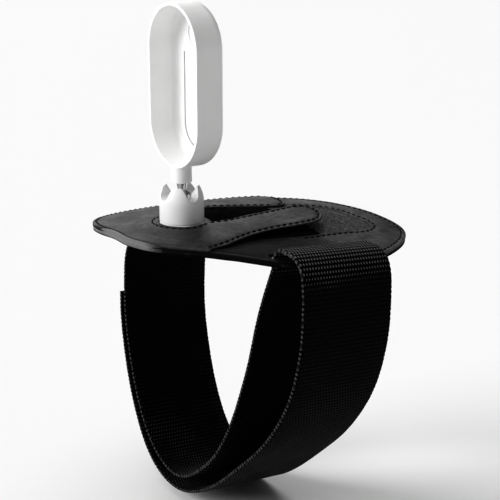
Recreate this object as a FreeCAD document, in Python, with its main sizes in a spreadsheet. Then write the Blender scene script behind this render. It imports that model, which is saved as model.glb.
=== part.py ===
import FreeCAD, Part
import math
import os

# Forearm strap with a leather pad that carries an upright oblong cup on a ball joint.
# Frame: origin on the pad's underside below the ball joint, +Z up along the joint's axis,
# +X along the forearm (across the strap), the cup's open side faces -X. All sizes in mm.

os.makedirs("parts", exist_ok=True)
doc = FreeCAD.newDocument("forearm_strap")
V = FreeCAD.Vector

# ---------------------------------------------------------------- driving dimensions
SIZES = [
    ("arch_radius", 190.0), ("long_radius", 900.0),
    ("backing_top", 0.5), ("foam_top", 1.7), ("base_top", 2.5), ("pad_top", 3.4),
    ("thread_height", 0.25), ("felt_height", 0.5), ("piping_width", 2.6),
    ("crown_radius", 8.8), ("crown_height", 14.4), ("ball_radius", 4.6),
    ("ball_height", 8.0), ("seat_clearance", 0.04), ("notch_width", 5.4),
    ("notch_floor", 9.2), ("boss_radius", 8.7), ("flange_radius", 9.4),
    ("spigot_radius", 6.95), ("crown_bore_radius", 7.0), ("plate_radius", 15.0),
    ("stud_top_radius", 2.15), ("stud_neck_radius", 1.5), ("shank_radius", 1.6),
    ("cup_width", 35.2), ("cup_height", 63.6), ("cup_depth", 13.2), ("cup_wall", 1.2),
    ("cup_floor", 1.4), ("cup_bottom", 21.8), ("cup_front", -3.6), ("cup_back_round", 3.6),
    ("cup_inner_round", 2.4), ("collar_radius", 4.15), ("collar_bottom", 15.9),
    ("dish_radius", 6.6), ("dish_depth", 0.5), ("tongue_half", 9.0), ("slit_width", 1.1),
    ("strap_width", 44.0), ("strap_start", 13.0), ("strap_thickness", 1.6),
]
sheet = doc.addObject("Spreadsheet::Sheet", "dims")
D = {}
for row, (alias, value) in enumerate(SIZES, start=1):
    sheet.set("A%d" % row, alias)
    sheet.set("B%d" % row, str(value))
    sheet.setAlias("B%d" % row, alias)
    D[alias] = value
doc.recompute()

TOP = D["pad_top"]
NODES = []


def bind(obj, **expressions):
    """Ties properties of one object to the sheet."""
    for prop, expression in expressions.items():
        obj.setExpression(prop, expression)
    return obj


def node(obj, label):
    """Names a finished piece; its label is the name of its exported file."""
    obj.Label = label
    NODES.append(obj)
    return obj


def cut(name, base, *tools):
    """Base minus one or more tools."""
    tool = tools[0]
    if len(tools) > 1:
        tool = doc.addObject("Part::MultiFuse", name + "_tools")
        tool.Shapes = list(tools)
    obj = doc.addObject("Part::Cut", name)
    obj.Base = base
    obj.Tool = tool
    return obj


def fuse(name, *parts):
    obj = doc.addObject("Part::MultiFuse", name)
    obj.Shapes = list(parts)
    return obj


def common(name, *parts):
    obj = doc.addObject("Part::MultiCommon", name)
    obj.Shapes = list(parts)
    return obj


def cylinder(name, radius, bottom, top, x=0.0, y=0.0):
    """Upright cylinder; radius, bottom and top are expressions or numbers."""
    obj = doc.addObject("Part::Cylinder", name)
    obj.Placement.Base = V(x, y, 0)
    bind(obj, Radius=str(radius), Height="(%s) - (%s)" % (top, bottom))
    obj.setExpression("Placement.Base.z", str(bottom))
    return obj


def revolve(name, profile):
    """Turns a closed (radius, height) outline about the Z axis."""
    wire = doc.addObject("Part::Feature", name + "_outline")
    points = [V(r, 0, z) for r, z in profile]
    wire.Shape = Part.Face(Part.makePolygon(points + points[:1]))
    obj = doc.addObject("Part::Revolution", name)
    obj.Source = wire
    obj.Axis = (0, 0, 1)
    obj.Base = (0, 0, 0)
    obj.Angle = 360
    return obj


# ---------------------------------------------------------------- the arched pad
# Every layer of the pad lies between two torus skins that share one centre.
skins = {}


def skin(level):
    """Solid torus whose crest is at the height given by an expression."""
    if level not in skins:
        obj = doc.addObject("Part::Torus", "skin_%d" % len(skins))
        bind(obj, Radius1="dims.long_radius - dims.arch_radius",
             Radius2="dims.arch_radius + (%s)" % level)
        obj.Placement = FreeCAD.Placement(V(0, 0, -D["long_radius"]), FreeCAD.Rotation(V(1, 0, 0), 90))
        obj.setExpression("Placement.Base.z", "-dims.long_radius")
        skins[level] = obj
    return skins[level]


def smooth(points, closed=True):
    curve = Part.BSplineCurve()
    curve.interpolate([V(x, y, -30) for x, y in points], PeriodicFlag=closed)
    return curve.toShape()


def prism(name, points):
    """Tall upright block with a smooth closed outline."""
    outline = doc.addObject("Part::Feature", name + "_outline")
    outline.Shape = Part.Face(Part.Wire([smooth(points)]))
    obj = doc.addObject("Part::Extrusion", name)
    obj.Base = outline
    obj.DirMode = "Custom"
    obj.Dir = V(0, 0, 1)
    obj.LengthFwd = 50
    obj.Solid = True
    return obj


def inset(points, gap):
    """Outline moved inwards by a gap (a smooth counter-clockwise or clockwise loop)."""
    count = len(points)
    area = sum(points[i][0] * points[(i + 1) % count][1] - points[(i + 1) % count][0] * points[i][1]
               for i in range(count))
    turn = 1.0 if area > 0 else -1.0
    moved = []
    for i in range(count):
        (x0, y0), (x1, y1) = points[i - 1], points[(i + 1) % count]
        length = math.hypot(x1 - x0, y1 - y0)
        nx, ny = -(y1 - y0) / length * turn, (x1 - x0) / length * turn
        moved.append((points[i][0] + nx * gap, points[i][1] + ny * gap))
    return moved


def layer(name, block, low, high):
    """The part of a block between two pad heights."""
    capped = common(name + "_capped", block, skin(high))
    return cut(name, capped, skin(low))


PAD = [(-29.5, 2), (-30, -6), (-29, -12), (-27, -17), (-23.5, -22), (-18, -27), (-12, -31.5),
       (-6, -36), (0, -40.5), (7, -46), (14, -50.5), (22, -53.5), (35, -55), (50, -55),
       (60, -53.5), (69, -50), (76, -46), (81.5, -41), (84.5, -36), (85.5, -29), (85, -20),
       (83, -10), (79.5, 0), (74, 12), (67, 23.5), (58, 33.5), (46, 40), (32, 43.5), (15, 44.5),
       (2, 43), (-10.8, 39.6), (-20.4, 33.4), (-27, 23.8), (-29.6, 12.4)]
WINDOW = [(12.5, -26.5), (25, -31.5), (41, -33), (56, -33), (67, -33), (71.5, -30), (71.5, -20),
          (69, -8), (62, 0), (50, 4), (39, 8), (31, 13), (24, 15.5), (17, 13.5), (12.3, 7.5), (11.1, -3),
          (11.4, -14)]
NEAR_ARM = [(-8.5, -32.5), (-3, -32), (3, -31.5), (8, -30.5), (14, -29.7), (20, -29.5),
            (26, -30), (34, -31), (39, -31.3), (45, -30.5), (49, -27.5), (52, -23),
            (52.5, -18), (51, -13.5), (47, -11.4), (36, -11.4), (28, -11.4), (20, -11.3),
            (12, -11.6), (6, -13.1), (0, -14), (-5, -16.5)]
FAR_GAP = [(12.4, -20), (10.7, -9), (10.3, 0), (12, 8), (15.5, 13.5), (20, 16.3), (25, 15.5), (32, 11),
           (39, 7), (46, 3.5), (53, 4), (58, 12), (61, 22), (64, 34), (75, 30), (95, 0), (96, -40),
           (70, -70), (20, -70), (-2, -60), (-9.5, -42), (-9.6, -34), (-7.5, -29.5), (0, -26.5),
           (8, -25)]

strap_slot = doc.addObject("Part::Box", "strap_slot")
bind(strap_slot, Length="dims.strap_width + 4.2", Width="dims.strap_thickness + 3.4")
strap_slot.Height = 60
strap_slot.Placement.Base = V(D["strap_start"] - 3.0, -46.4, -40)
strap_slot.setExpression("Placement.Base.x", "dims.strap_start - 3.0")

pad_block = prism("pad_block", PAD)
core_block = prism("core_block", inset(PAD, D["piping_width"] + 0.05))
rim_hole = prism("rim_hole", inset(PAD, D["piping_width"]))

backing = layer("backing_sheet", pad_block, "0", "dims.backing_top")
node(cut("backing_cut", backing, strap_slot), "backing_lining")

plate_hole = cylinder("plate_hole", "dims.plate_radius + 0.05", "dims.backing_top - 2", "dims.foam_top")
foam = layer("foam_sheet", core_block, "dims.backing_top", "dims.foam_top")
node(cut("foam_cut", foam, strap_slot, plate_hole), "foam_core")

piping = layer("piping_sheet", pad_block, "dims.backing_top", "dims.foam_top")
node(cut("piping_cut", piping, rim_hole), "edge_piping")

window_block = prism("window_block", WINDOW)
flange_hole = cylinder("flange_hole", "dims.flange_radius + 0.2", "dims.backing_top", "dims.pad_top + 1")
base = layer("base_sheet", pad_block, "dims.foam_top", "dims.base_top")
node(cut("base_cut", base, strap_slot, window_block, flange_hole, plate_hole), "base_cover")

# The felt fills the window's right part and the soft lining its left part.
window_floor = prism("window_floor", inset(WINDOW, 0.1))
felt_sheet = layer("felt_sheet", window_floor, "dims.foam_top", "dims.foam_top + dims.felt_height")
left_of_felt = doc.addObject("Part::Box", "left_of_felt")
left_of_felt.Length = 60
left_of_felt.Width = 120
left_of_felt.Height = 60
left_of_felt.Placement.Base = V(-28, -60, -40)
node(cut("felt_cut", felt_sheet, left_of_felt), "felt_panel")
lining_half = common("lining_half", felt_sheet, left_of_felt)
lining_block = doc.addObject("Part::Box", "lining_block")
lining_block.Length = 59.9
lining_block.Width = 120
lining_block.Height = 60
lining_block.Placement.Base = V(-28, -60, -40)
lining = common("lining_common", felt_sheet, lining_block)
node(cut("lining_cut", lining, plate_hole), "recess_lining")

top = layer("top_sheet", pad_block, "dims.base_top", "dims.pad_top")
far_gap = prism("far_gap", FAR_GAP)
arm_gap = prism("arm_gap", inset(NEAR_ARM, -0.15))
boss_hole = cylinder("boss_hole", "dims.boss_radius + 0.2", "dims.backing_top", "dims.pad_top + 1")
flange_room = cylinder("flange_room", "dims.flange_radius + 0.2", "dims.backing_top", "dims.base_top")
top_far_cut = cut("top_far_cut", top, far_gap)
top_arm_cut = cut("top_arm_cut", top_far_cut, arm_gap)
node(cut("top_cut", top_arm_cut, boss_hole, flange_room), "top_cover")

# The near arm is a flap that lifts off the pad towards its free end.
arm_block = prism("arm_block", NEAR_ARM)
arm_low = doc.addObject("Part::Torus", "arm_low_skin")
arm_high = doc.addObject("Part::Torus", "arm_high_skin")
hinge_at = V(-9, 0, D["base_top"])
lift = FreeCAD.Rotation(V(0, 1, 0), -3.6)
for obj, level in ((arm_low, "dims.base_top + 0.02"), (arm_high, "dims.pad_top + 0.02")):
    bind(obj, Radius1="dims.long_radius - dims.arch_radius",
         Radius2="dims.arch_radius + " + level)
    flat = FreeCAD.Placement(V(0, 0, -D["long_radius"]), FreeCAD.Rotation(V(1, 0, 0), 90))
    raised = FreeCAD.Placement(hinge_at, lift).multiply(FreeCAD.Placement(-hinge_at, FreeCAD.Rotation()))
    obj.Placement = raised.multiply(flat)
arm_capped = common("arm_capped", arm_block, arm_high)
node(cut("arm_cut", arm_capped, arm_low, boss_hole), "near_arm")


# ---------------------------------------------------------------- stitching
def seam_wall(name, points, half=0.3):
    """Tall narrow wall that follows a loop; a seam is the slice of it just above the leather."""
    outside = prism(name + "_outside", inset(points, -half))
    inside = prism(name + "_inside", inset(points, half))
    return cut(name + "_wall", outside, inside)


SEAM = inset(PAD, 2.0)
thread_top = "dims.pad_top + dims.thread_height"
thread_low = "dims.base_top + dims.thread_height"
open_side = prism("open_side", inset(FAR_GAP, 0.3))

# The upper leather is sewn along the pad's far side only.
far_half = doc.addObject("Part::Box", "far_half")
far_half.Length = 140
far_half.Width = 80
far_half.Height = 60
far_half.Placement.Base = V(-45, 6, -40)
edge_wall = common("edge_wall_far_half", seam_wall("edge", SEAM), far_half)
edge_wall = cut("edge_wall_far_cut", edge_wall, far_gap)
edge_wall = cut("edge_wall_arm_cut", edge_wall, arm_gap)
node(layer("edge_seam", edge_wall, "dims.pad_top", thread_top), "thread_edge")

low_wall = common("low_wall_open", seam_wall("low", SEAM), open_side)
low_wall = cut("low_wall_arm_cut", low_wall, arm_gap)
node(layer("low_seam", low_wall, "dims.base_top", thread_low), "thread_base")

RING = [(11.8 * math.cos(math.radians(a)), 11.8 * math.sin(math.radians(a)))
        for a in range(0, 360, 15)]
ring_wall = cut("ring_wall_far_cut", seam_wall("ring", RING), far_gap)
ring_wall = cut("ring_wall_arm_cut", ring_wall, arm_gap)
node(layer("ring_seam", ring_wall, "dims.pad_top", thread_top), "thread_ring")

# The window's seam shows on the right of the near arm, where the felt lies.
SEAM_SIDE = [(32, -45), (60, -45), (90, -40), (90, 0), (70, 20), (52, 10), (46, 2), (40, -10), (34, -28)]
window_wall = common("window_wall_right", seam_wall("window", inset(WINDOW, -2.0)),
                     prism("seam_side", SEAM_SIDE))
window_wall = common("window_wall_open", window_wall, open_side)
window_wall = cut("window_wall_arm_cut", window_wall, arm_gap)
node(layer("window_seam", window_wall, "dims.base_top", thread_low), "thread_window")

arm_wall_outside = prism("arm_seam_outside", inset(NEAR_ARM, 1.5))
arm_wall_inside = prism("arm_seam_inside", inset(NEAR_ARM, 2.1))
arm_thread = doc.addObject("Part::Torus", "arm_thread_skin")
bind(arm_thread, Radius1="dims.long_radius - dims.arch_radius",
     Radius2="dims.arch_radius + dims.pad_top + 0.02 + dims.thread_height")
arm_thread.Placement = arm_high.Placement
arm_seam = common("arm_seam", arm_wall_outside, arm_thread)
node(cut("arm_seam_cut", arm_seam, arm_wall_inside, arm_high, boss_hole), "thread_arm")

# ---------------------------------------------------------------- swivel base under the crown
base_profile = [(0, D["foam_top"]), (D["flange_radius"], D["foam_top"]),
                (D["flange_radius"], D["base_top"]), (D["boss_radius"], D["base_top"]),
                (D["boss_radius"], TOP - 0.03), (D["spigot_radius"], TOP - 0.03),
                (D["spigot_radius"], TOP + 0.9), (6.5, TOP + 0.9), (6.5, TOP + 1.5),
                (D["spigot_radius"], TOP + 1.5), (D["spigot_radius"], TOP + 2.1),
                (4.2, TOP + 2.1), (3.0, TOP + 1.7), (0, TOP + 1.5)]
base_body = revolve("base_body", base_profile)
screw_spots = [(5.0 * math.cos(math.radians(a)), 5.0 * math.sin(math.radians(a))) for a in (90, 210, 330)]
pilots = [cylinder("pilot_%d" % i, 1.02, "dims.foam_top - 1", "dims.pad_top + 0.9", x, y)
          for i, (x, y) in enumerate(screw_spots)]
node(cut("base_drilled", base_body, *pilots), "socket_base")

screws = []
sinks = []
for i, (x, y) in enumerate(screw_spots):
    for grow, store in ((0.0, screws), (0.03, sinks)):
        head = doc.addObject("Part::Cone", "head_%d_%d" % (i, len(store)))
        head.Radius1 = 1.9 + grow
        head.Radius2 = 1.0 + grow
        head.Height = 0.9
        head.Placement.Base = V(x, y, D["backing_top"])
        shank = cylinder("shank_%d_%d" % (i, len(store)), 1.0 + grow, "dims.backing_top + 0.9",
                         "dims.pad_top + 0.7", x, y)
        store.append(fuse("screw_%d_%d" % (i, len(store)), head, shank))
node(fuse("screw_set", *screws), "base_screws")
plate = cylinder("plate", "dims.plate_radius", "dims.backing_top", "dims.foam_top")
node(cut("plate_drilled", plate, *sinks), "stiffener_plate")

clip = revolve("clip_ring", [(6.52, TOP + 0.95), (7.4, TOP + 0.95), (7.4, TOP + 1.45), (6.52, TOP + 1.45)])
clip_gap = doc.addObject("Part::Box", "clip_gap")
clip_gap.Length = 10
clip_gap.Width = 3
clip_gap.Height = 4
clip_gap.Placement.Base = V(0, -1.5, TOP)
node(cut("clip_split", clip, clip_gap), "retaining_ring")

# ---------------------------------------------------------------- crown socket
ball_z = TOP + D["ball_height"]
inner = D["ball_radius"] + D["seat_clearance"]


def bowl(z_from, z_to, count):
    """Points of the spherical seat between two heights above the ball's centre."""
    out = []
    for i in range(count + 1):
        z = z_from + (z_to - z_from) * i / count
        out.append((math.sqrt(inner * inner - z * z), ball_z + z))
    return out


outer_curve = []
for i in range(9):
    t = i / 8.0
    outer_curve.append((D["crown_radius"] - 1.85 * t * t, TOP + 8.0 + 6.4 * t))
crown_profile = [(D["crown_bore_radius"], TOP), (D["crown_radius"] - 0.3, TOP),
                 (D["crown_radius"], TOP + 0.3)] + outer_curve
crown_profile += [(6.45, TOP + D["crown_height"]), (4.1, TOP + 10.9)]
crown_profile += list(reversed(bowl(0.5, 2.4, 8)))
crown_profile += [(6.2, TOP + 8.5), (6.2, TOP + 2.2), (D["crown_bore_radius"], TOP + 2.2),
                  (D["crown_bore_radius"], TOP + 1.5), (7.5, TOP + 1.5), (7.5, TOP + 0.9),
                  (D["crown_bore_radius"], TOP + 0.9)]
crown_body = revolve("crown_body", crown_profile)
notches = []
for i, turn in enumerate((0, 90)):
    slab = doc.addObject("Part::Box", "notch_slab_%d" % i)
    bind(slab, Width="dims.notch_width")
    slab.Length = 24
    slab.Height = 8
    rod = doc.addObject("Part::Cylinder", "notch_rod_%d" % i)
    bind(rod, Radius="dims.notch_width / 2")
    rod.Height = 24
    flare = doc.addObject("Part::Wedge", "notch_flare_%d" % i)
    flare.Xmin, flare.Xmax, flare.Zmin, flare.Zmax = -2.7, 2.7, 0, 24
    flare.X2min, flare.X2max, flare.Z2min, flare.Z2max = -3.9, 3.9, 0, 24
    flare.Ymin, flare.Ymax = 0, 3.4
    slab.Placement = FreeCAD.Placement(V(-12, -2.7, 0), FreeCAD.Rotation())
    rod.Placement = FreeCAD.Placement(V(-12, 0, 0), FreeCAD.Rotation(V(0, 1, 0), 90))
    flare.Placement = FreeCAD.Placement(V(-12, 0, 0), FreeCAD.Rotation(V(0, 1, 0), V(0, 0, 1), V(1, 0, 0)))
    cross = fuse("notch_%d" % i, slab, rod, flare)
    cross.Placement = FreeCAD.Placement(V(0, 0, TOP + D["notch_floor"] + 2.7),
                                        FreeCAD.Rotation(V(0, 0, 1), turn))
    notches.append(cross)
node(cut("crown_notched", crown_body, *notches), "crown_socket")

seat_profile = [(6.15, TOP + 2.95), (6.15, TOP + 8.4)]
seat_profile += list(reversed(bowl(-3.2, 0.4, 12)))
seat_profile += [(3.36, TOP + 3.9), (4.4, TOP + 2.95)]
node(revolve("seat_body", seat_profile), "ball_seat")
spring = revolve("spring_body", [(4.3, TOP + 2.12), (6.1, TOP + 2.12), (6.1, TOP + 2.4),
                                 (5.9, TOP + 2.93), (4.5, TOP + 2.93), (4.3, TOP + 2.4)])
node(spring, "wave_spring")

# ---------------------------------------------------------------- ball stud
ball = doc.addObject("Part::Sphere", "ball")
bind(ball, Radius="dims.ball_radius")
ball.setExpression("Placement.Base.z", "dims.pad_top + dims.ball_height")
collar_z = TOP + D["collar_bottom"]
stud_profile = [(0, ball_z), (1.5, ball_z), (1.5, TOP + 12.6), (2.15, collar_z - 0.05),
                (1.6, collar_z - 0.05), (1.6, collar_z + 4.0), (1.3, collar_z + 4.0),
                (1.3, collar_z + 4.6), (1.6, collar_z + 4.6), (1.6, collar_z + 5.1),
                (1.3, collar_z + 5.4), (0, collar_z + 5.4)]
stud_rod = revolve("stud_rod", stud_profile)
node(fuse("stud_whole", ball, stud_rod), "ball_stud")
stud_clip = revolve("stud_clip_ring", [(1.32, collar_z + 4.05), (2.2, collar_z + 4.05),
                                       (2.2, collar_z + 4.55), (1.32, collar_z + 4.55)])
node(stud_clip, "stud_clip")
insert = revolve("insert_body", [(1.64, collar_z + 0.6), (2.9, collar_z + 0.6), (2.9, collar_z + 5.6),
                                 (2.35, collar_z + 5.6), (2.35, collar_z + 3.95), (1.64, collar_z + 3.95)])
node(insert, "cup_insert")


# ---------------------------------------------------------------- cup
cup_mid_z = TOP + D["cup_bottom"] + D["cup_height"] / 2.0


def stadium(name, half_width, half_height, x0, x1, z=None):
    """Upright oblong block with round ends, thick from x0 to x1."""
    z = cup_mid_z if z is None else z
    straight = half_height - half_width
    a = V(0, half_width, straight)
    b = V(0, 0, half_height)
    c = V(0, -half_width, straight)
    d = V(0, -half_width, -straight)
    e = V(0, 0, -half_height)
    f = V(0, half_width, -straight)
    wire = Part.Wire([Part.Arc(a, b, c).toShape(), Part.makeLine(c, d),
                      Part.Arc(d, e, f).toShape(), Part.makeLine(f, a)])
    outline = doc.addObject("Part::Feature", name + "_outline")
    outline.Shape = Part.Face(wire)
    outline.Placement.Base = V(x0, 0, z)
    obj = doc.addObject("Part::Extrusion", name)
    obj.Base = outline
    obj.DirMode = "Custom"
    obj.Dir = V(1, 0, 0)
    obj.LengthFwd = x1 - x0
    obj.Solid = True
    return obj


def round_end(name, block, x, radius):
    """Rounds the edges of a block that lie in the plane at x."""
    doc.recompute()
    edges = []
    for i, edge in enumerate(block.Shape.Edges, start=1):
        if all(abs(v.X - x) < 1e-4 for v in edge.Vertexes):
            edges.append((i, radius, radius))
    obj = doc.addObject("Part::Fillet", name)
    obj.Base = block
    obj.Edges = edges
    return obj


x_front = D["cup_front"]
x_back = x_front + D["cup_depth"]
x_floor = x_back - D["cup_floor"]
half_w = D["cup_width"] / 2.0
half_h = D["cup_height"] / 2.0
cup_outer = round_end("cup_outer", stadium("cup_outer_block", half_w, half_h, x_front, x_back),
                      x_back, D["cup_back_round"])
cup_inner = round_end("cup_inner", stadium("cup_inner_block", half_w - D["cup_wall"],
                                           half_h - D["cup_wall"], x_front - 5, x_floor),
                      x_floor, D["cup_inner_round"])
dish = doc.addObject("Part::Cylinder", "dish")
bind(dish, Radius="dims.dish_radius", Height="dims.dish_depth + 1")
dish.Placement = FreeCAD.Placement(V(x_floor - 1, 0, TOP + 73.0), FreeCAD.Rotation(V(0, 1, 0), 90))

# U-shaped slit that frees the press tongue on both sides and at its lower end.
tongue_root = TOP + 65.2
tongue_end = TOP + 28.6
slit_mid = (tongue_root + 10 + tongue_end - D["slit_width"]) / 2.0
slit_half = (tongue_root + 10 - tongue_end + D["slit_width"]) / 2.0
slit_outer = stadium("slit_outer", D["tongue_half"] + D["slit_width"], slit_half, x_floor - 2,
                     x_back + 2, slit_mid)
tongue_core = stadium("tongue_core", D["tongue_half"], slit_half - D["slit_width"], x_floor - 3,
                      x_back + 3, slit_mid)
below_root = doc.addObject("Part::Box", "below_root")
below_root.Length = 40
below_root.Width = 60
below_root.Height = 80
below_root.Placement.Base = V(x_floor - 20, -30, tongue_root - 80)
slit_opening = common("slit_opening", slit_outer, below_root)
tongue_block = common("tongue_block", tongue_core, below_root)
collar = cylinder("collar", "dims.collar_radius", "dims.pad_top + dims.collar_bottom",
                  "dims.pad_top + dims.cup_bottom + 2.2")
collar_cut = cut("collar_trimmed", collar, cup_inner)
shell_whole = fuse("shell_whole", cup_outer, collar_cut)
insert_room = cylinder("insert_room", 2.9, collar_z + 0.6, collar_z + 5.6)
shank_room = cylinder("shank_room", 1.9, collar_z - 1, collar_z + 0.7)
node(cut("shell_cut", shell_whole, cup_inner, dish, slit_opening, insert_room, shank_room), "cup_shell")
tongue_plate = doc.addObject("Part::Box", "tongue_plate")
tongue_plate.Length = D["cup_floor"]
tongue_plate.Width = 60
tongue_plate.Height = 79.97
tongue_plate.Placement.Base = V(x_floor, -30, tongue_root - 80)
node(common("tongue_whole", tongue_block, tongue_plate), "press_tongue")

# ---------------------------------------------------------------- strap
# One long elastic webbing seen from its edge: it starts under the pad's far side, runs round as
# the inner layer, comes up through the slot, folds over the near border and runs round again
# as the outer layer. Points are (y, z) along the middle of its thickness.
RUN = [(26.0, -3.1), (33.0, -4.2), (40.0, -5.9), (48.0, -8.9), (56.0, -13.4), (63.0, -19.5),
       (68.0, -27.0), (70.4, -40.0), (70.8, -54.0), (69.6, -66.0), (67.0, -78.0), (63.4, -90.0),
       (58.0, -102.0), (51.0, -112.0), (42.0, -118.6), (32.0, -121.4), (22.0, -119.4),
       (11.0, -112.6), (0.5, -103.4), (-9.0, -91.0), (-16.0, -78.4), (-22.0, -64.6), (-27.5, -50.0),
       (-32.0, -35.0), (-36.8, -22.0), (-41.2, -12.0), (-43.4, -6.0), (-44.4, -2.2), (-46.6, -0.4),
       (-50.2, -0.2), (-54.0, -0.5), (-57.6, -1.9), (-60.3, -4.7), (-61.7, -8.8), (-62.2, -14.5),
       (-62.2, -22.0), (-61.6, -32.0), (-59.6, -42.5), (-56.4, -53.0), (-51.2, -64.0),
       (-44.0, -74.8), (-35.2, -85.2), (-23.0, -96.6), (-11.0, -107.0), (0.0, -115.6), (12.0, -122.6), (24.0, -126.9),
       (34.0, -127.4), (44.0, -124.6), (53.6, -117.6), (61.2, -106.6), (67.0, -93.6),
       (71.0, -80.0), (73.4, -67.5), (74.5, -57.0), (74.4, -48.0)]


# The webbing's width leans down with the pad towards +X.
STRAP_LEAN = V(1, 0.03, -0.09)


def ribbon_face(points, thickness, shift=0.0, count=220):
    """Face in the YZ plane that follows a line with an even thickness."""
    line = Part.BSplineCurve()
    line.interpolate([V(0, y, z) for y, z in points])
    first, last = line.FirstParameter, line.LastParameter
    sides = ([], [])
    for i in range(count + 1):
        at = first + (last - first) * i / count
        spot = line.value(at)
        along = line.tangent(at)[0]
        side = V(0, -along.z, along.y)
        sides[0].append(spot + side * (shift + thickness / 2.0))
        sides[1].append(spot + side * (shift - thickness / 2.0))
    edges = []
    for side in sides:
        curve = Part.BSplineCurve()
        curve.interpolate(side[::2])
        edges.append(curve.toShape())
    ends = [Part.makeLine(sides[0][0], sides[1][0]), Part.makeLine(sides[0][-1], sides[1][-1])]
    wire = Part.Wire(Part.__sortEdges__(edges + ends))
    return Part.Face(wire)


def ribbon(name, points, thickness, shift, x0, width, count=220):
    face = doc.addObject("Part::Feature", name + "_outline")
    face.Shape = ribbon_face(points, thickness, shift, count)
    obj = doc.addObject("Part::Extrusion", name)
    obj.Base = face
    obj.DirMode = "Custom"
    obj.Dir = STRAP_LEAN
    obj.Solid = True
    if isinstance(width, str):
        obj.setExpression("LengthFwd", width)
    else:
        obj.LengthFwd = width
    obj.Placement.Base = V(D["strap_start"], 0, 0) + STRAP_LEAN * (x0 - D["strap_start"])
    return obj


strap_whole = ribbon("strap_run", RUN, D["strap_thickness"], 0.0, D["strap_start"], "dims.strap_width")
strap_whole.setExpression("Placement.Base.x", "dims.strap_start")
pad_room = layer("pad_room", pad_block, "0", "dims.pad_top")
pad_whole = cut("pad_whole", pad_room, strap_slot)
node(cut("strap_trimmed", strap_whole, pad_whole), "strap_webbing")

# Hook tape inside the tail and loop tape outside the inner layer, pressed together.
TAIL = RUN[-3:]
node(ribbon("hook_run", TAIL, 1.0, D["strap_thickness"] / 2.0 + 0.55, D["strap_start"] + 4.0, 36.0, 60),
     "hook_tape")
LOOP = RUN[7:11]
node(ribbon("loop_run", LOOP, 0.8, D["strap_thickness"] / 2.0 + 0.45, D["strap_start"] + 4.0, 36.0, 60),
     "loop_tape")

doc.recompute()

# ---------------------------------------------------------------- checks and export
for obj in doc.Objects:
    state = list(obj.State)
    if "Invalid" in state or "Error" in state:
        raise RuntimeError("broken object: %s %s" % (obj.Label, state))

for obj in NODES:
    shape = obj.Shape
    if shape.isNull() or not shape.isValid() or not shape.Solids:
        raise RuntimeError("bad shape: " + obj.Label)
    box = shape.BoundBox
    print("%-16s solids %d volume %9.1f  x %.1f %.1f  y %.1f %.1f  z %.1f %.1f" % (
        obj.Label, len(shape.Solids), shape.Volume, box.XMin, box.XMax, box.YMin, box.YMax,
        box.ZMin, box.ZMax))
    if len(shape.Solids) == 1:
        shape = shape.Solids[0]
    shape.exportStep("parts/%s.step" % obj.Label)
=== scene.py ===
import math

import bpy
import numpy as np
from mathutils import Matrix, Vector, geometry, noise


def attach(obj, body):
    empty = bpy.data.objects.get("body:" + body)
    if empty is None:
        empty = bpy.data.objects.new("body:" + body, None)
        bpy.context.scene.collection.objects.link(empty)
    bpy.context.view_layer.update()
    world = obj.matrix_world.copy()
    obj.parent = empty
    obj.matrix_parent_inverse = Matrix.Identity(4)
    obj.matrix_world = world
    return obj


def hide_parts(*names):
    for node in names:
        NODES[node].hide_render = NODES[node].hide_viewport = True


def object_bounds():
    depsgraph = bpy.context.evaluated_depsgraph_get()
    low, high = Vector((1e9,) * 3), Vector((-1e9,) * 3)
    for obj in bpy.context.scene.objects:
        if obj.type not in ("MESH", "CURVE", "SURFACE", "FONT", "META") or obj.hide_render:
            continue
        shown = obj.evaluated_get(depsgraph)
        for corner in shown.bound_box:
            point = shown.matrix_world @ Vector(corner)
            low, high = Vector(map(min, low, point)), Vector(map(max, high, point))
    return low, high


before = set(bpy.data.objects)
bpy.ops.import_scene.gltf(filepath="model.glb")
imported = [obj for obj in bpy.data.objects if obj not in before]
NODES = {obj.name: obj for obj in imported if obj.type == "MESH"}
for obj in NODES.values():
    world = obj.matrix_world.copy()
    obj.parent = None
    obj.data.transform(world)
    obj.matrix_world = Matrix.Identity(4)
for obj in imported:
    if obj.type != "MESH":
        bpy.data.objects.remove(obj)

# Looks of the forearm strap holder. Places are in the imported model's frame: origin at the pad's
# underside, straight below the ball joint, and +Z up the joint's axis.
CAD_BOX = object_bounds()
MM = 0.001
SCENE = bpy.context.scene


# ------------------------ shapes shared with the CAD model
# The pad arches over the forearm with one radius and along it with the other.
ARCH_RADIUS, LONG_RADIUS = 190.0, 900.0
BACKING_TOP, FOAM_TOP, BASE_TOP, PAD_TOP = 0.5, 1.7, 2.5, 3.4
# The webbing starts at one X and leans along its width by this direction.
STRAP_X0, STRAP_WIDTH, STRAP_THICK = 13.0, 44.0, 1.6
STRAP_LEAN = (0.9955, 0.0299, -0.0896)
# The weave: pitch along and across, number of columns, and where the columns are counted from.
RIB_PITCH, COLUMN_PITCH, COLUMNS, WEAVE_START = 1.8, 1.4, 30, 210.0
ARM_HINGE_X, ARM_SLOPE = -9.0, math.tan(math.radians(3.6))
# The strap's slot through the leather, and through the layers below it: X from, X to, Y from, Y to.
SLOT, SLOT_RADIUS = (10.6, 58.0, -46.2, -43.0), 1.6
LOW_SLOT, LOW_SLOT_RADIUS = (12.4, 57.4, -45.8, -41.5), 1.4

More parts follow.
